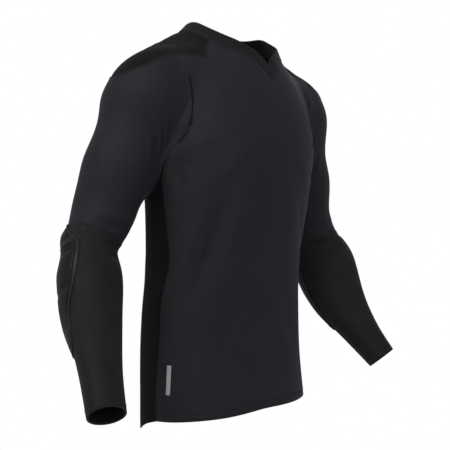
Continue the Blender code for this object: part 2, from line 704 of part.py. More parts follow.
def add_label(look):
    """A plain label that lies on the front, near the hem and the wearer's right side seam."""
    width, length, thickness = LABEL_SIZE
    top, bottom = laid(np.array(LABEL_ENDS))
    along = (bottom - top) / np.linalg.norm(bottom - top)
    middle = (top + bottom) / 2
    _, normal = outward(middle[None])
    across = np.cross(normal[0], along)
    columns, rows = LABEL_POINTS
    u, v = np.meshgrid(np.linspace(-0.5, 0.5, columns), np.linspace(-0.5, 0.5, rows))
    grid = middle + u[..., None] * width * across + v[..., None] * length * along
    points = laid(grid).reshape(-1, 3)
    _, normals = outward(points)
    faces = facing_out(points, normals, cells(rows, columns))
    count = len(points)
    add_piece("hem_label", look, mirrored(points), mirrored(normals), faces[:, ::-1],
              np.full(count, SEAM_GAP), np.full(count, SEAM_GAP + thickness))


def main():
    clear_scene()
    looks = {
        "body": material("smooth knit", (0.020, 0.021, 0.023), 0.55),
        "side": material("side mesh knit", (0.005, 0.005, 0.005), 0.80),
        "pad": material("shoulder pad cloth", (0.010, 0.011, 0.010), 0.75),
        "mesh": material("sleeve mesh knit", (0.012, 0.012, 0.013), 0.65),
        "elbow": material("elbow pad cloth", (0.014, 0.014, 0.015), 0.60),
        "trim": material("elbow trim", (0.030, 0.031, 0.033), 0.40),
        "collar": material("collar knit", (0.016, 0.017, 0.018), 0.60),
        "label": material("white label", (0.800, 0.800, 0.800), 0.60),
    }
    seams = Seams()
    add_torso(seams, looks)
    add_shoulder_pads(seams, looks["pad"])
    add_collar(seams, looks["collar"])
    add_upper_sleeves(seams, looks["body"])
    sleeve = lower_sleeve_grid()
    add_lower_sleeves(sleeve, looks["mesh"])
    add_elbow_pads(sleeve, looks["elbow"], looks["trim"])
    add_label(looks["label"])


main()
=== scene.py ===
"""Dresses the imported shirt: finer cloth on the solids' own form, with creases, seams and sewing."""

import math

import bmesh
import bpy
import numpy as np
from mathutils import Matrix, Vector
from mathutils.bvhtree import BVHTree


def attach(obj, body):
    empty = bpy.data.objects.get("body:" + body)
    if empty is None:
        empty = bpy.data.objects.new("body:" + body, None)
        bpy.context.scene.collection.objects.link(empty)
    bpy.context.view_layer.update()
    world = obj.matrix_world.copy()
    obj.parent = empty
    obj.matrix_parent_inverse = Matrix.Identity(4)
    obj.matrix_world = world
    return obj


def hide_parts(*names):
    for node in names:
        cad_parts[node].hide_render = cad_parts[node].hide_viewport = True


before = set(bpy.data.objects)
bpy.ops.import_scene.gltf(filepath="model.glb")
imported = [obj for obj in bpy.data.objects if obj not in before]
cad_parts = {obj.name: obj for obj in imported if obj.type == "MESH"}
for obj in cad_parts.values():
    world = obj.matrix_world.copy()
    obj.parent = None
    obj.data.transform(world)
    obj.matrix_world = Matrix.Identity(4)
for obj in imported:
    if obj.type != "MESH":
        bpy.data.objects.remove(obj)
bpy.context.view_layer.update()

SIDES = (("left", 1), ("right", -1))
MERGE = 0.00001
# A wall's rim is sharper than this, and its faces are flatter
RIM_ANGLE = math.radians(42)
# How near two panels' edges lie where they are sewn, and where three of them meet
SEWN_REACH = 0.0030
CORNER_REACH = 0.0016

# The middle line of the wearer's left arm, on which cloth patterns are measured
ARM_LINE = [
    (0.122, -0.021, -0.095), (0.174, -0.016, -0.125), (0.198, 0.006, -0.190), (0.229, 0.020, -0.270),
    (0.254, 0.029, -0.350), (0.272, 0.027, -0.392), (0.284, 0.003, -0.445), (0.296, -0.024, -0.510),
    (0.313, -0.071, -0.580), (0.330, -0.119, -0.640), (0.343, -0.157, -0.690),
]
TORSO_LINE = [(0.0, 0.0, -0.780), (0.0, 0.0, 0.060)]
# The line over each shoulder on which its pad is measured
SHOULDER_LINE = [
    (0.045, 0.020, -0.080), (0.110, 0.020, -0.095), (0.175, 0.010, -0.140), (0.200, 0.005, -0.190),
]
ARM_GIRTH = 0.330
TORSO_GIRTH = 0.900

# Creases and soft folds: side (1 left, -1 right, 0 both), start, bend, end, half width, height.
# A trough has a height below nothing. Each lies on the cloth nearest to it.
FOLDS = [
    # across the chest and the waist
    (-1, (0.020, -0.130, -0.190), (0.085, -0.112, -0.255), (0.150, -0.060, -0.330), 0.016, 0.0026),
    (-1, (0.060, -0.120, -0.250), (0.074, -0.094, -0.384), (0.110, -0.066, -0.560), 0.015, 0.0046),
    (-1, (0.095, -0.105, -0.310), (0.112, -0.082, -0.400), (0.136, -0.052, -0.500), 0.010, -0.0042),
    (-1, (0.124, -0.083, -0.325), (0.140, -0.054, -0.405), (0.156, -0.029, -0.484), 0.010, 0.0024),
    (-1, (0.080, -0.090, -0.500), (0.105, -0.080, -0.570), (0.140, -0.055, -0.640), 0.012, 0.0020),
    (-1, (0.010, -0.100, -0.420), (0.050, -0.092, -0.510), (0.085, -0.085, -0.620), 0.018, -0.0024),
    (1, (0.070, -0.112, -0.300), (0.110, -0.085, -0.370), (0.150, -0.045, -0.420), 0.011, -0.0016),
    (1, (0.020, -0.108, -0.470), (0.070, -0.085, -0.560), (0.120, -0.070, -0.640), 0.014, 0.0012),
    (1, (0.060, -0.120, -0.230), (0.100, -0.105, -0.285), (0.150, -0.060, -0.350), 0.012, 0.0012),
    # drawn into the underarm, on the front and on the back
    (0, (0.118, -0.104, -0.150), (0.140, -0.084, -0.185), (0.158, -0.062, -0.215), 0.0080, -0.0012),
    (0, (0.110, -0.112, -0.205), (0.140, -0.086, -0.225), (0.165, -0.055, -0.240), 0.0090, 0.0012),
    (0, (0.125, -0.102, -0.262), (0.150, -0.074, -0.260), (0.170, -0.045, -0.255), 0.0090, -0.0014),
    (0, (0.168, -0.046, -0.248), (0.164, -0.054, -0.275), (0.158, -0.062, -0.305), 0.0110, -0.0034),
    (0, (0.110, 0.104, -0.160), (0.138, 0.088, -0.200), (0.160, 0.064, -0.238), 0.0080, -0.0014),
    (0, (0.100, 0.110, -0.225), (0.135, 0.092, -0.255), (0.162, 0.062, -0.275), 0.0090, 0.0013),
    (0, (0.060, 0.116, -0.120), (0.100, 0.104, -0.150), (0.135, 0.082, -0.165), 0.0110, 0.0010),
    # down the small of the back
    (0, (0.012, 0.114, -0.300), (0.020, 0.124, -0.400), (0.016, 0.130, -0.520), 0.0120, -0.0012),
    (0, (0.060, 0.128, -0.560), (0.100, 0.112, -0.610), (0.145, 0.078, -0.650), 0.0120, 0.0012),
    # the sleeve sinks beside the lower half of the armhole's seam
    (0, (0.146, -0.076, -0.160), (0.153, -0.071, -0.203), (0.169, -0.047, -0.235), 0.0034, -0.0028),
    (0, (0.150, 0.075, -0.165), (0.156, 0.068, -0.200), (0.165, 0.059, -0.232), 0.0036, -0.0018),
    # short sharp pleats on the upper sleeve, beside the armhole
    (0, (0.161, -0.060, -0.183), (0.162, -0.058, -0.200), (0.161, -0.055, -0.219), 0.0028, -0.0034),
    (0, (0.169, -0.058, -0.187), (0.167, -0.054, -0.206), (0.164, -0.049, -0.226), 0.0028, -0.0048),
    (0, (0.177, -0.058, -0.184), (0.173, -0.051, -0.208), (0.169, -0.042, -0.231), 0.0029, -0.0050),
    (0, (0.185, -0.046, -0.217), (0.181, -0.041, -0.230), (0.176, -0.034, -0.243), 0.0030, -0.0040),
    (0, (0.198, -0.048, -0.218), (0.195, -0.044, -0.231), (0.191, -0.038, -0.244), 0.0034, -0.0034),
    (0, (0.182, -0.057, -0.178), (0.179, -0.053, -0.202), (0.174, -0.042, -0.226), 0.0034, 0.0024),
    (0, (0.193, -0.052, -0.196), (0.189, -0.047, -0.218), (0.183, -0.038, -0.240), 0.0042, 0.0022),
    (0, (0.212, -0.046, -0.205), (0.206, -0.042, -0.236), (0.198, -0.030, -0.262), 0.0060, 0.0018),
    (0, (0.184, 0.064, -0.165), (0.184, 0.066, -0.212), (0.176, 0.056, -0.262), 0.0055, -0.0015),
    (0, (0.198, 0.064, -0.180), (0.198, 0.068, -0.228), (0.190, 0.058, -0.278), 0.0055, 0.0014),
    (0, (0.216, 0.064, -0.205), (0.216, 0.070, -0.245), (0.208, 0.064, -0.290), 0.0070, -0.0010),
    # crossings in the crook of the elbow
    (0, (0.214, -0.006, -0.338), (0.246, -0.022, -0.346), (0.290, -0.012, -0.340), 0.0070, 0.0026),
    (0, (0.218, -0.004, -0.358), (0.250, -0.018, -0.362), (0.298, -0.012, -0.352), 0.0055, -0.0034),
    (0, (0.220, -0.006, -0.382), (0.255, -0.022, -0.384), (0.305, -0.018, -0.374), 0.0080, 0.0028),
    (0, (0.224, -0.012, -0.402), (0.258, -0.030, -0.404), (0.306, -0.028, -0.398), 0.0060, -0.0028),
    (0, (0.230, -0.026, -0.424), (0.262, -0.042, -0.428), (0.306, -0.040, -0.420), 0.0085, 0.0020),
    # long slack down the back of the upper arm, and above the cuff
    (0, (0.236, 0.080, -0.240), (0.252, 0.084, -0.292), (0.262, 0.078, -0.345), 0.0100, -0.0013),
    (0, (0.205, 0.060, -0.310), (0.226, 0.068, -0.330), (0.250, 0.074, -0.338), 0.0080, 0.0014),
    (0, (0.300, -0.086, -0.552), (0.318, -0.104, -0.576), (0.336, -0.116, -0.590), 0.0075, 0.0010),
    (0, (0.298, -0.080, -0.570), (0.314, -0.108, -0.594), (0.330, -0.124, -0.606), 0.0070, -0.0010),
    # small draws where the collar band turns to meet its other end
    (0, (0.016, -0.102, -0.068), (0.026, -0.104, -0.074), (0.034, -0.110, -0.090), 0.0050, 0.0010),
]
FOLD_STEPS = 14
FOLD_ENDS = 0.7
FOLD_REACH = 3.0
SKIN_REACH = 0.030

# Ridges and hollows moulded into the elbow pads, in the same columns
PAD_RELIEF = [
    # hollow, crossing ridge, hollow, in front of the elbow
    (0, (0.319, -0.003, -0.371), (0.325, 0.014, -0.378), (0.324, 0.029, -0.387), 0.0050, -0.0026),
    (0, (0.322, -0.013, -0.381), (0.331, 0.008, -0.391), (0.325, 0.033, -0.402), 0.0032, 0.0022),
    (0, (0.327, -0.019, -0.391), (0.336, 0.003, -0.402), (0.333, 0.022, -0.415), 0.0044, -0.0018),
    # breaks across the long ridge
    (0, (0.344, -0.035, -0.448), (0.346, -0.010, -0.460), (0.332, 0.016, -0.475), 0.0034, -0.0028),
    (0, (0.349, -0.034, -0.505), (0.345, -0.022, -0.519), (0.338, -0.013, -0.529), 0.0040, -0.0014),
    # long ridges down the outside
    (0, (0.333, 0.022, -0.426), (0.338, 0.013, -0.440), (0.341, 0.006, -0.456), 0.0060, 0.0010),
    (0, (0.341, 0.000, -0.476), (0.342, -0.007, -0.495), (0.343, -0.015, -0.514), 0.0060, 0.0010),
    # the same crossings round the back
    (0, (0.297, 0.063, -0.402), (0.279, 0.072, -0.412), (0.257, 0.070, -0.427), 0.0050, -0.0018),
    (0, (0.313, 0.033, -0.481), (0.295, 0.041, -0.490), (0.271, 0.043, -0.498), 0.0044, -0.0018),
]

# node, piece, fineness, line it lies round, girth there, slot, flat size and area of a sheet
CLOTH = [
    ("front", "front_cloth", 2, TORSO_LINE, TORSO_GIRTH, "body_knit", (0.50, 0.655, 0.240)),
    ("back", "back_cloth", 2, TORSO_LINE, TORSO_GIRTH, "body_knit", (0.46, 0.735, 0.245)),
    ("side_panel", "side_cloth", 2, TORSO_LINE, TORSO_GIRTH, "side_mesh", (0.125, 0.480, 0.036)),
    ("upper_sleeve", "upper_sleeve_cloth", 3, ARM_LINE, ARM_GIRTH, "body_knit", (0.45, 0.330, 0.088)),
    ("lower_sleeve", "lower_sleeve_cloth", 3, ARM_LINE, ARM_GIRTH, "sleeve_mesh", (0.37, 0.300, 0.078)),
    ("collar", "collar_band", 2, TORSO_LINE, TORSO_GIRTH, "collar_knit", (0.53, 0.040, 0.018)),
    ("shoulder_pad", "shoulder_pad_cloth", 3, SHOULDER_LINE, ARM_GIRTH, "shoulder_cloth", None),
    ("elbow_pad", "elbow_pad_cloth", 3, ARM_LINE, ARM_GIRTH, "elbow_cloth", None),
    ("elbow_trim", "elbow_trim_band", 2, ARM_LINE, ARM_GIRTH, "elbow_trim_cloth", None),
    ("hem_label", "hem_label_tape", 2, TORSO_LINE, TORSO_GIRTH, "label_cloth", None),
]
SINGLE = ("front", "back", "collar", "hem_label")
BOTH = (("_left", 1), ("_right", -1))
# The label is on the wearer's right
LABEL_WAY = -1
SIDE_RIM, SIDE_OUT, SIDE_IN = 0, 1, 2

# Seams between panels: name, then the panels on either side
SEAMS = [
    ("side_seam_front", "front", "side_panel"),
    ("side_seam_back", "back", "side_panel"),
    ("armhole_seam_front", "upper_sleeve", "front"),
    ("armhole_seam_back", "upper_sleeve", "back"),
    ("armhole_seam_under", "upper_sleeve", "side_panel"),
    ("armhole_seam_over", "upper_sleeve", "shoulder_pad"),
    ("pad_seam_chest", "shoulder_pad", "front"),
    ("pad_seam_blade", "shoulder_pad", "back"),
    ("neck_seam_front", "front", "collar"),
    ("neck_seam_side", "shoulder_pad", "collar"),
    ("neck_seam_back", "back", "collar"),
    ("elbow_seam", "upper_sleeve", "lower_sleeve"),
]
# The flat seam's section: how far across, how high. It ends under the cloth.
SEAM_SECTION = [
    (-0.0026, -0.0004), (-0.0023, 0.00020), (-0.0014, 0.00044), (-0.0005, 0.00032), (0.0005, 0.00032),
    (0.0014, 0.00044), (0.0023, 0.00020), (0.0026, -0.0004),
]
SEAM_STEP = 0.003
# These pieces lie on the cloth and have no flat seam
LAID_ON = ("elbow_pad", "elbow_trim", "hem_label")
# These sink into the cloth and show as narrow dark lines: their band is narrower, and coloured near black
# as painted shade of the groove.
SUNK_SEAMS = ("armhole_seam_front", "armhole_seam_back", "armhole_seam_under")
SUNK_WIDTH = 0.6

# Sewn rows: height over the edge, stitch pitch, stitch length, thread thickness
HEM_ROWS = (0.0110, 0.0128)
CUFF_ROWS = (0.0100, 0.0116)
STITCH_PITCH = 0.0030
STITCH_LENGTH = 0.0022
THREAD = 0.00032
STITCH_SIDES = 5

CORNER_TURN = math.cos(math.radians(35))
HOLD_REACH = 0.0032
HEM_TOP = -0.660
HEM_STATIONS = 360
# Where the sheer mesh of the lower sleeve ends, and where it is all close knit
SHEER_END = -0.535
CLOSE_START = -0.565
WALE = 0.0007
COURSE = 0.0008
THREAD_PITCH = 0.0011

EYE = (-0.808, -0.915, -0.373)
LOOK_WAY = (0.662, 0.750, 0.0)
SURROUND = 0.20
# How pale the floor looks, over what the lights give it
FLOOR_GLOW = 0.6
# name, place, aim, width, power, tint
LIGHTS = [
    ("Key light", (-1.90, -0.60, 0.90), (0.0, 0.0, -0.30), 1.4, 10.4, (1.0, 0.99, 0.97)),
    ("Front light", (-0.90, -2.10, 0.60), (0.0, 0.0, -0.35), 1.4, 4.8, (0.95, 0.98, 1.0)),
    ("Rim light", (1.60, 0.90, 0.80), (0.05, 0.0, -0.30), 1.0, 1.8, (0.95, 0.98, 1.0)),
]


def choose(piece):
    """Makes one piece the only one selected."""
    bpy.ops.object.select_all(action="DESELECT")
    piece.select_set(True)
    bpy.context.view_layer.objects.active = piece


def unit(rows):
    return rows / np.maximum(np.linalg.norm(rows, axis=-1, keepdims=True), 1e-12)


def mirrored(rows, way):
    return np.asarray(rows, float) * np.array([way, 1.0, 1.0])


def points_of(piece):
    points = np.zeros(len(piece.data.vertices) * 3)
    piece.data.vertices.foreach_get("co", points)
    return points.reshape(-1, 3)


def put_points(piece, points):
    piece.data.vertices.foreach_set("co", points.ravel())
    piece.data.update()


def nearest_on(points, line):
    """Each point's nearest place on a line: the way out, the distance, the length there, the run."""
    line = np.asarray(line, float)
    run = np.diff(line, axis=0)
    lengths = np.linalg.norm(run, axis=1)
    rel = points[:, None, :] - line[:-1][None]
    t = np.clip((rel * run).sum(-1) / lengths**2, 0, 1)
    off = rel - t[..., None] * run
    away = np.linalg.norm(off, axis=-1)
    i = away.argmin(axis=1)
    here = np.arange(len(points))
    start = np.concatenate([[0.0], np.cumsum(lengths)])[:-1]
    return off[here, i], away[here, i], start[i] + t[here, i] * lengths[i], run[i] / lengths[i][:, None]


def copy_of(node, name):
    """A copy of a solid with its loose triangles joined and paired into four-sided faces."""
    piece = bpy.data.objects.new(name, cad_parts[node].data.copy())
    bpy.context.scene.collection.objects.link(piece)
    choose(piece)
    bpy.ops.object.mode_set(mode="EDIT")
    bpy.ops.mesh.select_all(action="SELECT")
    bpy.ops.mesh.remove_doubles(threshold=MERGE)
    bpy.ops.mesh.customdata_custom_splitnormals_clear()
    bpy.ops.mesh.tris_convert_to_quads(face_threshold=RIM_ANGLE, shape_threshold=math.pi)
    bpy.ops.object.mode_set(mode="OBJECT")
    return piece


def mark_sides(piece, line):
    """Marks each face as the outside, the inside or the rim of the wall, and sharpens the rim."""
    mesh = bmesh.new()
    mesh.from_mesh(piece.data)
    mark = mesh.faces.layers.int.new("wall_side")
    held = mesh.edges.layers.float.new("crease_edge")
    seen = set()
    stretches = []
    for first in mesh.faces:
        if first in seen:
            continue
        seen.add(first)
        stretch = []
        waiting = [first]
        while waiting:
            face = waiting.pop()
            stretch.append(face)
            for edge in face.edges:
                if edge.calc_face_angle(math.pi) > RIM_ANGLE:
                    edge[held] = 1.0
                    continue
                for other in edge.link_faces:
                    if other not in seen:
                        seen.add(other)
                        waiting.append(other)
        stretches.append(stretch)
    stretches.sort(key=lambda faces: -sum(face.calc_area() for face in faces))
    for stretch in stretches[:2]:
        centres = np.array([face.calc_center_median() for face in stretch])
        ways = np.array([face.normal * face.calc_area() for face in stretch])
        off = nearest_on(centres, line)[0]
        side = SIDE_OUT if (unit(off) * ways).sum() > 0 else SIDE_IN
        for face in stretch:
            face[mark] = side
    mesh.to_mesh(piece.data)
    mesh.free()


def faces_of(piece):
    """The corners of every face, for a mesh of four-sided faces, and the side that each is on."""
    corners = np.zeros(len(piece.data.loops), int)
    piece.data.loops.foreach_get("vertex_index", corners)
    side = np.zeros(len(piece.data.polygons), int)
    piece.data.attributes["wall_side"].data.foreach_get("value", side)
    return corners.reshape(-1, 4), side


def outer_border(piece):
    """The edges between a wall's outside and its rim, as closed rounds of points' numbers."""
    beside = {}
    sides = piece.data.attributes["wall_side"].data
    for polygon in piece.data.polygons:
        for edge in polygon.edge_keys:
            beside.setdefault(edge, []).append(sides[polygon.index].value)
    on = {}
    for edge, two in beside.items():
        if sorted(two) == [SIDE_RIM, SIDE_OUT]:
            for a, b in (edge, edge[::-1]):
                on.setdefault(a, []).append(b)
    rounds = []
    left = set(on)
    while left:
        first = min(left)
        walk = [first]
        left.discard(first)
        while True:
            ahead = [b for b in on[walk[-1]] if b in left]
            if not ahead:
                break
            walk.append(ahead[0])
            left.discard(ahead[0])
        rounds.append(walk)
    return rounds


def corners_of(borders):
    """Where three panels meet, or where a panel's edge turns sharply."""
    places = []
    for node, rounds in borders.items():
        others = [np.concatenate(them) for name, them in borders.items() if name != node]
        for walk in rounds:
            ahead = unit(np.roll(walk, -1, axis=0) - walk)
            turn = (ahead * np.roll(ahead, 1, axis=0)).sum(1) < CORNER_TURN
            meets = sum(
                (np.linalg.norm(walk[:, None] - them[None], axis=-1).min(axis=1) < CORNER_REACH).astype(int)
                for them in others)
            places.append(walk[turn | (meets > 1)])
    return np.concatenate(places)


def hold_corners(piece, places):
    """Keeps a panel's corners in place under the smoothing."""
    points = points_of(piece)
    near = np.linalg.norm(points[:, None] - places[None], axis=-1).min(axis=1) < HOLD_REACH
    mesh = bmesh.new()
    mesh.from_mesh(piece.data)
    held = mesh.verts.layers.float.new("crease_vert")
    for point in mesh.verts:
        if near[point.index]:
            point[held] = 1.0
    mesh.to_mesh(piece.data)
    mesh.free()


def smoothed(piece, levels):
    """Makes the cloth finer and smooth, while it still passes through the solid's own points."""
    kept = points_of(piece)
    trial = piece.copy()
    trial.data = piece.data.copy()
    bpy.context.scene.collection.objects.link(trial)
    add_smoothing(trial, levels)
    drawn_in = kept - points_of(trial)[:len(kept)]
    bpy.data.objects.remove(trial)
    put_points(piece, kept + drawn_in)
    add_smoothing(piece, levels)
    for name in ("crease_edge", "crease_vert"):
        if name in piece.data.attributes:
            piece.data.attributes.remove(piece.data.attributes[name])


def add_smoothing(piece, levels):
    choose(piece)
    smooth = piece.modifiers.new("Smooth cloth", "SUBSURF")
    smooth.levels = levels
    smooth.render_levels = levels
    bpy.ops.object.modifier_apply(modifier=smooth.name)


def fold_path(start, bend, end):
    """A fold's line, as even steps of a soft curve through its three points."""
    t = np.linspace(0, 1, FOLD_STEPS + 1)[:, None]
    start, bend, end = (np.array(point) for point in (start, bend, end))
    middle = 2 * bend - (start + end) / 2
    return (1 - t) ** 2 * start + 2 * t * (1 - t) * middle + t**2 * end


def fold_paths(table, skin):
    """Every fold of a table on both its sides, laid on the cloth nearest to it."""
    paths = []
    for side, start, bend, end, half_width, height in table:
        for way in ((-1, 1) if side == 0 else (side,)):
            path = mirrored(fold_path(start, bend, end), way)
            found = [skin.find_nearest(Vector(point), SKIN_REACH)[0] for point in path]
            if None not in found:
                paths.append((np.array(found), half_width, height))
    return paths


def lift_at(points, paths):
    """How far the folds lift each point."""
    lift = np.zeros(len(points))
    for path, half_width, height in paths:
        reach = FOLD_REACH * half_width
        inside = (points > path.min(axis=0) - reach) & (points < path.max(axis=0) + reach)
        near = np.nonzero(inside.all(axis=1))[0]
        if not len(near):
            continue
        run = np.diff(path, axis=0)
        rel = points[near][:, None, :] - path[:-1][None]
        t = np.clip((rel * run).sum(-1) / np.maximum((run * run).sum(-1), 1e-12), 0, 1)
        away = np.linalg.norm(rel - t[..., None] * run, axis=-1)
        nearest = away.argmin(axis=1)
        here = np.arange(len(near))
        along = (nearest + t[here, nearest]) / len(run)
        fade = np.sin(np.pi * np.clip(along, 0, 1)) ** FOLD_ENDS
        lift[near] += height * fade * np.exp(-((away[here, nearest] / half_width) ** 2))
    return lift


def ways_out(piece):
    """The way out of the shirt at each point of a wall."""
    points = points_of(piece)
    corners, side = faces_of(piece)
    ways = np.zeros_like(points)
    first, second, third, fourth = (points[column] for column in corners.T)
    area = np.cross(third - first, fourth - second)
    for mark, sign in ((SIDE_OUT, 1.0), (SIDE_IN, -1.0)):
        chosen = side == mark
        for k in range(4):
            np.add.at(ways, corners[chosen, k], sign * area[chosen])
    found = np.linalg.norm(ways, axis=1) > 0
    known = BVHTree.FromPolygons([tuple(p) for p in points], [tuple(c) for c in corners[side != SIDE_RIM]])
    for i in np.nonzero(~found)[0]:
        nearest = known.find_nearest(Vector(points[i]))[2]
        ways[i] = ways[corners[side != SIDE_RIM][nearest]].sum(axis=0)
    return unit(ways)


def fold_cloth(piece, paths):
    points = points_of(piece)
    lift = lift_at(points, paths)
    put_points(piece, points + ways_out(piece) * lift[:, None])


def outer_skin(pieces):
    """The outside of several pieces, for laying things on it."""
    points = []
    faces = []
    count = 0
    for piece in pieces:
        place = points_of(piece)
        corners, side = faces_of(piece)
        points += [tuple(p) for p in place]
        faces += [tuple(c) for c in corners[side == SIDE_OUT] + count]
        count += len(place)
    return BVHTree.FromPolygons(points, faces)


def map_cloth(piece, line, girth):
    """Gives a piece a map in metres, round its line and along it, for the pattern of its cloth."""
    points = points_of(piece)
    off, _, along, run = nearest_on(points, line)
    across = unit(np.array([1.0, 0.0, 0.0]) - run[:, :1] * run)
    ahead = np.cross(run, across)
    angle = np.arctan2((off * ahead).sum(1), (off * across).sum(1))
    corners = np.zeros(len(piece.data.loops), int)
    piece.data.loops.foreach_get("vertex_index", corners)
    faces = corners.reshape(-1, 4)
    turn = angle[faces]
    turn += 2 * np.pi * ((turn.max(axis=1, keepdims=True) - turn) > np.pi)
    uv = np.stack([turn / (2 * np.pi) * girth, along[faces]], axis=-1)
    layer = piece.data.uv_layers.new(name="cloth")
    layer.data.foreach_set("uv", uv.ravel())


def mesh_piece(name, points, faces, uv=None):
    """A new piece from points and faces, with a map in metres where one is given."""
    mesh = bpy.data.meshes.new(name)
    mesh.from_pydata([tuple(p) for p in points], [], [tuple(f) for f in faces])
    if uv is not None:
        layer = mesh.uv_layers.new(name="cloth")
        for loop in mesh.loops:
            layer.data[loop.index].uv = uv[loop.vertex_index]
    mesh.shade_smooth()
    piece = bpy.data.objects.new(name, mesh)
    bpy.context.scene.collection.objects.link(piece)
    choose(piece)
    bpy.ops.object.mode_set(mode="EDIT")
    bpy.ops.mesh.select_all(action="SELECT")
    bpy.ops.mesh.normals_make_consistent(inside=False)
    bpy.ops.object.mode_set(mode="OBJECT")
    return piece


def finish_piece(piece, look, slot, *nodes):
    """Gives a piece its look and its place in the frame."""
    piece.data.materials.clear()
    piece.data.materials.append(look)
    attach(piece, "root")
    if nodes:
        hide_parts(*nodes)


class Look:
    """One material, built up node by node."""

    def __init__(self, name):
        self.material = bpy.data.materials.new(name)
        self.material.use_nodes = True
        self.nodes = self.material.node_tree.nodes
        self.links = self.material.node_tree.links
        self.shader = self.nodes["Principled BSDF"]

    def node(self, kind, inputs, output=0, **settings):
        """Adds a node with its inputs set or linked, and gives one of its outputs."""
        made = self.nodes.new(kind)
        for key, value in settings.items():
            setattr(made, key, value)
        for key, value in inputs.items():
            if isinstance(value, bpy.types.NodeSocket):
                self.links.new(value, made.inputs[key])
            else:
                made.inputs[key].default_value = value
        return made.outputs[output]

    def math(self, operation, a, b=0.0, c=0.0):
        return self.node("ShaderNodeMath", {0: a, 1: b, 2: c}, operation=operation)

    def shade(self, **inputs):
        """Sets or links the finish itself."""
        for name, value in inputs.items():
            socket = self.shader.inputs[name.replace("_", " ")]
            if isinstance(value, bpy.types.NodeSocket):
                self.links.new(value, socket)
            else:
                socket.default_value = value
        return self.material


def cloth_axes(look):
    """The cloth map's two directions, in metres."""
    mapped = look.node("ShaderNodeUVMap", {}, uv_map="cloth")
    split = look.nodes.new("ShaderNodeSeparateXYZ")
    look.links.new(mapped, split.inputs[0])
    return split.outputs[0], split.outputs[1]


def wave(look, way, pitch, shift=0.0):
    """A wave from -1 to 1 along one direction of the map."""
    return look.math("SINE", look.math("MULTIPLY_ADD", way, 2 * math.pi / pitch, shift))


def uneven_tone(look, colour, scale, spread):
    """A colour that wanders a little lighter and darker over the cloth."""
    place = look.node("ShaderNodeTexCoord", {}, output=3)
    cloud = look.node("ShaderNodeTexNoise", {"Vector": place, "Scale": scale, "Detail": 4.0})
    ramp = look.nodes.new("ShaderNodeValToRGB")
    look.links.new(cloud, ramp.inputs[0])
    ramp.color_ramp.elements[0].position = 0.30
    ramp.color_ramp.elements[1].position = 0.70
    ramp.color_ramp.elements[0].color = (*[c * (1 - spread) for c in colour], 1)
    ramp.color_ramp.elements[1].color = (*[c * (1 + spread) for c in colour], 1)
    return ramp.outputs[0], cloud


def bumped(look, height, strength, depth, under=None):
    inputs = {"Height": height, "Strength": strength, "Distance": depth}
    if under is not None:
        inputs["Normal"] = under
    return look.node("ShaderNodeBump", inputs)


def smooth_knit(name, colour, roughness, sheen):
    """Close knit: fine upright wales crossed by courses, with a soft bluish sheen."""
    look = Look(name)
    u, v = cloth_axes(look)
    tone, cloud = uneven_tone(look, colour, 26.0, 0.10)
    wales = look.math("ABSOLUTE", wave(look, u, WALE * 2))
    courses = look.math("MULTIPLY_ADD", wave(look, v, COURSE), 0.35, 0.65)
    loops = look.math("MULTIPLY", wales, courses)
    fine = bumped(look, loops, 0.25, 0.0003)
    slub = bumped(look, cloud, 0.12, 0.0020, fine)
    worn = look.math("MULTIPLY_ADD", cloud, 0.14, roughness - 0.07)
    return look.shade(
        Base_Color=tone, Roughness=worn, Normal=slub, Specular_IOR_Level=0.32, Sheen_Weight=sheen,
        Sheen_Roughness=0.45, Sheen_Tint=(0.80, 0.88, 1.0, 1.0))


def mesh_knit(name, colour, hole, roughness, sheen, spacing):
    """Open mesh: round holes in rows, each row shifted by half a hole."""
    look = Look(name)
    u, v = cloth_axes(look)
    tone, cloud = uneven_tone(look, colour, 30.0, 0.12)
    step = spacing * math.sqrt(3) / 2
    slant = look.math("MULTIPLY_ADD", v, math.sqrt(3), u)
    back_slant = look.math("MULTIPLY_ADD", v, -math.sqrt(3), u)
    quarter = math.pi / 2
    rows = look.math("ADD", wave(look, slant, 2 * step, quarter), wave(look, back_slant, 2 * step, quarter))
    lattice = look.math("ADD", rows, wave(look, u, step, quarter))
    holes = look.node("ShaderNodeMapRange", {"Value": lattice, "From Min": 1.1, "From Max": 2.0},
                      interpolation_type="SMOOTHSTEP")
    blend = look.node("ShaderNodeMix", {0: holes, 6: tone, 7: (*hole, 1.0)}, output=2, data_type="RGBA")
    rim = bumped(look, look.math("SUBTRACT", 1.0, holes), 0.5, 0.0004)
    slub = bumped(look, cloud, 0.12, 0.0020, rim)
    return look.shade(
        Base_Color=blend, Roughness=roughness, Normal=slub, Specular_IOR_Level=0.25, Sheen_Weight=sheen,
        Sheen_Roughness=0.5, Sheen_Tint=(1.0, 0.97, 0.93, 1.0))


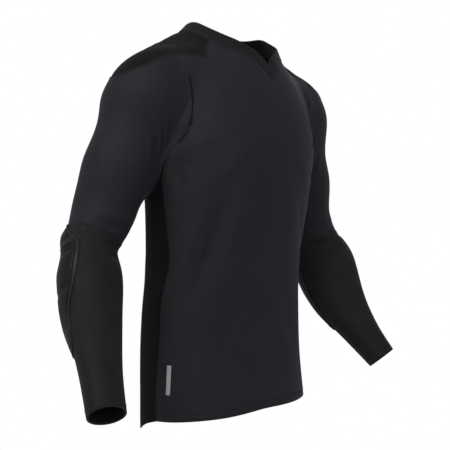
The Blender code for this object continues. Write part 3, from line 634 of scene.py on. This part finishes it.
def forearm_knit(name, upper, lower):
    """The lower sleeve: sheer mesh under the elbow that closes to smooth knit above the cuff."""
    look = Look(name)
    u, v = cloth_axes(look)
    place = look.node("ShaderNodeTexCoord", {}, output=3)
    split = look.nodes.new("ShaderNodeSeparateXYZ")
    look.links.new(place, split.inputs[0])
    closed = look.node("ShaderNodeMapRange",
                       {"Value": split.outputs[2], "From Min": SHEER_END, "From Max": CLOSE_START},
                       interpolation_type="SMOOTHSTEP")
    sheer, cloud = uneven_tone(look, upper, 30.0, 0.12)
    close, _ = uneven_tone(look, lower, 26.0, 0.10)
    holes = look.math("MULTIPLY", wave(look, u, 0.0018), wave(look, v, 0.0018))
    pocks = look.node("ShaderNodeMapRange", {"Value": holes, "From Min": 0.15, "From Max": 0.75})
    pocks = look.math("MULTIPLY", pocks, look.math("SUBTRACT", 1.0, closed))
    blend = look.node("ShaderNodeMix", {0: closed, 6: sheer, 7: close}, output=2, data_type="RGBA")
    dark = look.node("ShaderNodeMix", {0: pocks, 6: blend, 7: (0.004, 0.004, 0.004, 1.0)}, output=2,
                     data_type="RGBA")
    rim = bumped(look, look.math("SUBTRACT", 1.0, pocks), 0.4, 0.0003)
    slub = bumped(look, cloud, 0.12, 0.0020, rim)
    rough = look.math("MULTIPLY_ADD", closed, -0.08, 0.68)
    sheen = look.math("MULTIPLY_ADD", closed, 0.06, 0.10)
    return look.shade(
        Base_Color=dark, Roughness=rough, Normal=slub, Specular_IOR_Level=0.28, Sheen_Weight=sheen,
        Sheen_Roughness=0.45, Sheen_Tint=(0.90, 0.93, 1.0, 1.0))


def pad_cloth(name, colour, roughness, specular, grain, depth):
    """Matte cloth over foam, with a close grain."""
    look = Look(name)
    tone, cloud = uneven_tone(look, colour, 22.0, 0.12)
    place = look.node("ShaderNodeTexCoord", {}, output=3)
    cells = look.node("ShaderNodeTexVoronoi", {"Vector": place, "Scale": grain})
    fine = bumped(look, cells, 0.30, depth)
    slub = bumped(look, cloud, 0.15, 0.0020, fine)
    worn = look.math("MULTIPLY_ADD", cloud, 0.12, roughness - 0.06)
    return look.shade(
        Base_Color=tone, Roughness=worn, Normal=slub, Specular_IOR_Level=specular, Sheen_Weight=0.10,
        Sheen_Roughness=0.5, Sheen_Tint=(0.92, 1.0, 0.95, 1.0))


def sewn_band(name, colour, sheen):
    """Covering threads that run to and fro over a flat seam."""
    look = Look(name)
    u, v = cloth_axes(look)
    tone, _ = uneven_tone(look, colour, 40.0, 0.10)
    slant = look.math("MULTIPLY_ADD", v, 0.45, u)
    threads = look.math("ABSOLUTE", wave(look, slant, THREAD_PITCH * 2))
    rows = bumped(look, threads, 0.6, 0.0004)
    return look.shade(
        Base_Color=tone, Roughness=0.55, Normal=rows, Specular_IOR_Level=0.35, Sheen_Weight=sheen,
        Sheen_Roughness=0.4, Sheen_Tint=(0.85, 0.90, 1.0, 1.0))


def thread_look(name, colour):
    """Twisted thread."""
    look = Look(name)
    tone, cloud = uneven_tone(look, colour, 300.0, 0.15)
    twist = bumped(look, cloud, 0.3, 0.0002)
    return look.shade(Base_Color=tone, Roughness=0.5, Normal=twist, Specular_IOR_Level=0.4)


def label_tape(name):
    """White woven tape."""
    look = Look(name)
    u, v = cloth_axes(look)
    tone, _ = uneven_tone(look, (0.78, 0.78, 0.78), 60.0, 0.04)
    weave = look.math("MULTIPLY", wave(look, u, 0.0008), wave(look, v, 0.0008))
    grain = bumped(look, weave, 0.35, 0.0002)
    return look.shade(Base_Color=tone, Roughness=0.6, Normal=grain, Specular_IOR_Level=0.3)


def seam_runs(walk, other):
    """The stretches of one panel's edge that another panel's edge runs beside, midway between."""
    away = np.linalg.norm(walk[:, None] - other[None], axis=-1)
    nearest = other[away.argmin(axis=1)]
    near = away.min(axis=1) < SEWN_REACH
    middle = (walk + nearest) / 2
    if near.all():
        return [(middle, True)]
    first = int(np.nonzero(~near)[0][0])
    near = np.roll(near, -first)
    middle = np.roll(middle, -first, axis=0)
    runs = []
    run = []
    for place, sewn in zip(middle, near):
        if sewn:
            run.append(place)
        elif run:
            runs.append(run)
            run = []
    if run:
        runs.append(run)
    return [(np.array(run), False) for run in runs if len(run) > 5]


def even_steps(line, step, closed):
    """Reads a line at even steps."""
    if closed:
        line = np.concatenate([line, line[:1]])
    lengths = np.concatenate([[0.0], np.cumsum(np.linalg.norm(np.diff(line, axis=0), axis=1))])
    count = max(int(round(lengths[-1] / step)), 4)
    places = np.linspace(0, lengths[-1], count + 1)
    if closed:
        places = places[:-1]
    return np.stack([np.interp(places, lengths, column) for column in line.T], axis=1)


def ahead_along(line, closed):
    if closed:
        return unit(np.roll(line, -1, axis=0) - np.roll(line, 1, axis=0))
    return unit(np.gradient(line, axis=0))


def out_at(skin, places):
    """The nearest place on the cloth and the way out there, for each place."""
    laid = []
    ways = []
    for place in places:
        found, way, _, _ = skin.find_nearest(Vector(place))
        laid.append(found)
        ways.append(way)
    return np.array(laid), np.array(ways)


def seam_band(line, closed, skin, width):
    """A flat seam's points and faces along one line, closed at its ends."""
    line = even_steps(line, SEAM_STEP, closed)
    _, out = out_at(skin, line)
    for _ in range(3):
        if closed:
            out = unit(out + np.roll(out, 1, axis=0) + np.roll(out, -1, axis=0))
        else:
            out[1:-1] = unit(out[1:-1] + out[:-2] + out[2:])
    ahead = ahead_along(line, closed)
    across = unit(np.cross(ahead, out))
    rounds = []
    for over, height in SEAM_SECTION:
        over = over * width
        laid, _ = out_at(skin, line + across * over)
        flat = line + across * over + out * (((laid - line - across * over) * out).sum(1))[:, None]
        rounds.append(flat + out * height)
    points = np.stack(rounds, axis=1)
    count, wide = points.shape[:2]
    faces = []
    for i in range(count if closed else count - 1):
        for j in range(wide):
            k = (j + 1) % wide
            m = (i + 1) % count
            faces.append((i * wide + j, m * wide + j, m * wide + k, i * wide + k))
    if not closed:
        faces.append(tuple(range(wide)))
        faces.append(tuple(range((count - 1) * wide, count * wide))[::-1])
    along = np.arange(count) * SEAM_STEP
    over = np.array([place for place, _ in SEAM_SECTION])
    uv = np.stack(np.broadcast_arrays(along[:, None], over[None]), axis=-1)
    return points.reshape(-1, 3), faces, uv.reshape(-1, 2)


def stitch_row(line, closed, skin):
    """A row of single stitches that lie along a line on the cloth."""
    line = even_steps(line, STITCH_PITCH, closed)
    laid, out = out_at(skin, line)
    ahead = ahead_along(laid, closed)
    across = unit(np.cross(ahead, out))
    turn = np.linspace(0, 2 * np.pi, STITCH_SIDES, endpoint=False)
    ends = [(-0.5, 0.35, -0.6), (-0.28, 1.0, 0.5), (0.28, 1.0, 0.5), (0.5, 0.35, -0.6)]
    points = []
    faces = []
    for place, forward, side, up in zip(laid, ahead, across, out):
        first = len(points)
        for along, size, rise in ends:
            centre = place + forward * along * STITCH_LENGTH + up * rise * THREAD
            for angle in turn:
                points.append(centre + THREAD * size * (math.cos(angle) * side + math.sin(angle) * up))
        for i in range(len(ends) - 1):
            for j in range(STITCH_SIDES):
                k = (j + 1) % STITCH_SIDES
                a, b = first + i * STITCH_SIDES, first + (i + 1) * STITCH_SIDES
                faces.append((a + j, b + j, b + k, a + k))
        faces.append(tuple(first + j for j in range(STITCH_SIDES))[::-1])
        faces.append(tuple(first + (len(ends) - 1) * STITCH_SIDES + j for j in range(STITCH_SIDES)))
    return points, faces


def joined(parts):
    """Runs several sets of points and faces, and maps where there are any, into one."""
    points = []
    faces = []
    maps = []
    for part in parts:
        first = len(points)
        points += [tuple(p) for p in part[0]]
        faces += [tuple(first + v for v in face) for face in part[1]]
        if len(part) > 2:
            maps += [tuple(m) for m in part[2]]
    return points, faces, maps or None


def hem_line(points, rise, skin):
    """A line that runs round the hem, so far above it."""
    angle = np.arctan2(points[:, 1], points[:, 0])
    order = np.argsort(angle)
    angle, height = angle[order], points[order, 2]
    places = np.linspace(-np.pi, np.pi, HEM_STATIONS, endpoint=False)
    height = np.interp(places, angle, height, period=2 * np.pi) + rise
    line = []
    for turn, z in zip(places, height):
        way = Vector((math.cos(turn), math.sin(turn), 0))
        found = skin.ray_cast(Vector((0, 0, z)), way)[0]
        if found is not None:
            line.append(found)
    return np.array(line)


def cuff_line(edge, line, rise):
    """A line that runs round a cuff, so far above its edge: the edge drawn back up the sleeve."""
    _, _, _, run = nearest_on(edge, line)
    return edge - run * rise


def light(name, place, aim, size, power, tint):
    """A wide soft light that shines from one place towards another."""
    lamp = bpy.data.lights.new(name, "AREA")
    lamp.shape = "DISK"
    lamp.size = size
    lamp.energy = power
    lamp.color = tint
    holder = bpy.data.objects.new(name, lamp)
    holder.location = place
    holder.rotation_euler = (Vector(aim) - Vector(place)).to_track_quat("-Z", "Y").to_euler()
    bpy.context.scene.collection.objects.link(holder)


def studio():
    """A white surround, wide soft lights, a pale floor and the camera."""
    scene = bpy.context.scene
    scene.view_settings.view_transform = "Standard"
    world = bpy.data.worlds.new("White surround")
    scene.world = world
    world.use_nodes = True
    nodes = world.node_tree.nodes
    links = world.node_tree.links
    seen = nodes["Background"]
    seen.inputs["Color"].default_value = (1, 1, 1, 1)
    seen.inputs["Strength"].default_value = 1.0
    glow = nodes.new("ShaderNodeBackground")
    glow.inputs["Color"].default_value = (0.95, 0.98, 1.0, 1)
    glow.inputs["Strength"].default_value = SURROUND
    path = nodes.new("ShaderNodeLightPath")
    pick = nodes.new("ShaderNodeMixShader")
    links.new(path.outputs["Is Camera Ray"], pick.inputs[0])
    links.new(glow.outputs[0], pick.inputs[1])
    links.new(seen.outputs[0], pick.inputs[2])
    links.new(pick.outputs[0], nodes["World Output"].inputs["Surface"])
    for row in LIGHTS:
        light(*row)

    bpy.ops.object.select_all(action="DESELECT")
    bpy.ops.mesh.primitive_circle_add(vertices=96, radius=1.6, fill_type="NGON", location=(0, 0, -1.6))
    floor = bpy.context.object
    floor.name = "Pale_floor"
    look = Look("Pale floor")
    place = look.node("ShaderNodeTexCoord", {}, output=3)
    cloud = look.node("ShaderNodeTexNoise", {"Vector": place, "Scale": 3.0})
    seen = look.node("ShaderNodeLightPath", {})
    look.shade(Base_Color=(0.8, 0.8, 0.8, 1), Roughness=look.math("MULTIPLY_ADD", cloud, 0.1, 0.7),
               Emission_Color=(1, 1, 1, 1), Emission_Strength=look.math("MULTIPLY", seen, FLOOR_GLOW))
    floor.data.materials.append(look.material)

    eye = bpy.data.cameras.new("Camera")
    eye.lens = 52.1
    eye.sensor_width = 36.0
    eye.shift_x = -0.0067
    eye.shift_y = 0.0195
    eye.dof.use_dof = False
    holder = bpy.data.objects.new("Camera", eye)
    holder.location = EYE
    holder.rotation_euler = Vector(LOOK_WAY).to_track_quat("-Z", "Y").to_euler()
    scene.collection.objects.link(holder)
    scene.camera = holder


def main():
    looks = {
        "body_knit": smooth_knit("Body knit", (0.0315, 0.0312, 0.0385), 0.60, 0.16),
        "side_mesh": mesh_knit("Side mesh", (0.0050, 0.0050, 0.0052), (0.0015, 0.0015, 0.0015), 0.80, 0.05,
                               0.0024),
        # The close knit above the cuff is darker than the body's knit: painted shade, to offset the
        # stronger light the wrist gets.
        "sleeve_mesh": forearm_knit("Forearm knit", (0.0390, 0.0380, 0.0390), (0.0210, 0.0215, 0.0255)),
        "collar_knit": smooth_knit("Collar knit", (0.0140, 0.0150, 0.0165), 0.62, 0.14),
        "shoulder_cloth": pad_cloth("Shoulder pad cloth", (0.0170, 0.0185, 0.0174), 0.88, 0.12, 900.0,
                                    0.0003),
        "elbow_cloth": pad_cloth("Elbow pad cloth", (0.0095, 0.0097, 0.0105), 0.42, 0.40, 1400.0, 0.0002),
        # Lighter than the pad's cloth: painted highlight along the trim's glossy raised rim.
        "elbow_trim_cloth": pad_cloth("Elbow trim", (0.0240, 0.0246, 0.0262), 0.38, 0.50, 1400.0, 0.0001),
        "label_cloth": label_tape("White label tape"),
    }
    flat_seam = sewn_band("Flat seam", (0.0200, 0.0205, 0.0245), 0.12)
    # Near black: painted shade of the groove along the sunk seams.
    groove_shade_seam = sewn_band("Seam painted with groove shade", (0.0042, 0.0044, 0.0050), 0.04)
    thread = thread_look("Black thread", (0.030, 0.031, 0.034))

    pieces = {}
    lines = {}
    for node, name, fineness, line, girth, slot, flat in CLOTH:
        for side, way in (("", LABEL_WAY if node == "hem_label" else 1),) if node in SINGLE else BOTH:
            whole = node + side
            piece = copy_of(whole, name + side)
            lines[whole] = mirrored(line, way)
            mark_sides(piece, lines[whole])
            pieces[whole] = (piece, fineness, girth, slot, flat)

    borders = {whole: [points_of(row[0])[walk] for walk in outer_border(row[0])]
               for whole, row in pieces.items() if not whole.startswith(LAID_ON)}
    corners = corners_of(borders)
    for whole, row in pieces.items():
        hold_corners(row[0], corners)
        smoothed(row[0], row[1])

    panels = [row[0] for whole, row in pieces.items() if whole in borders]
    skin = outer_skin(panels)
    folds = fold_paths(FOLDS, skin)
    pads = [row[0] for whole, row in pieces.items() if whole.startswith("elbow_pad")]
    relief = fold_paths(PAD_RELIEF, outer_skin(pads))
    for whole, (piece, _, girth, slot, flat) in pieces.items():
        fold_cloth(piece, folds)
        if piece in pads:
            fold_cloth(piece, relief)
        map_cloth(piece, lines[whole], girth)
        piece.data.shade_smooth()
        finish_piece(piece, looks[slot], slot, whole)

    skin = outer_skin(panels)
    edges = {}
    for whole in borders:
        points = points_of(pieces[whole][0])
        edges[whole] = [points[walk] for walk in outer_border(pieces[whole][0])]
    for name, first, second in SEAMS:
        for side in ("_left", "_right"):
            a = first if first in SINGLE else first + side
            b = second if second in SINGLE else second + side
            both = a in SINGLE and b in SINGLE
            if both and side == "_right":
                continue
            other = np.concatenate(edges[b])
            bands = []
            for walk in edges[a]:
                for line, closed in seam_runs(walk, other):
                    bands.append(seam_band(line, closed, skin, SUNK_WIDTH if name in SUNK_SEAMS else 1.0))
            if not bands:
                continue
            points, faces, uv = joined(bands)
            piece = mesh_piece(name if both else name + side, points, faces, uv)
            finish_piece(piece, groove_shade_seam if name in SUNK_SEAMS else flat_seam, "body_knit")

    torso = [pieces[whole][0] for whole in ("front", "back", "side_panel_left", "side_panel_right")]
    torso_skin = outer_skin(torso)
    hem = np.concatenate([np.concatenate(edges[piece]) for piece in
                          ("front", "back", "side_panel_left", "side_panel_right")])
    hem = hem[hem[:, 2] < HEM_TOP]
    rows = [stitch_row(hem_line(hem, rise, torso_skin), True, torso_skin) for rise in HEM_ROWS]
    points, faces, _ = joined(rows)
    finish_piece(mesh_piece("hem_sewing", points, faces), thread, "body_knit")
    for side, way in SIDES:
        piece = pieces["lower_sleeve_" + side][0]
        sleeve_skin = outer_skin([piece])
        cuff = min(edges["lower_sleeve_" + side], key=lambda walk: walk[:, 2].mean())
        arm = mirrored(ARM_LINE, way)
        rows = [stitch_row(cuff_line(cuff, arm, rise), True, sleeve_skin) for rise in CUFF_ROWS]
        points, faces, _ = joined(rows)
        finish_piece(mesh_piece("cuff_sewing_" + side, points, faces), thread, "sleeve_mesh")


main()
studio()
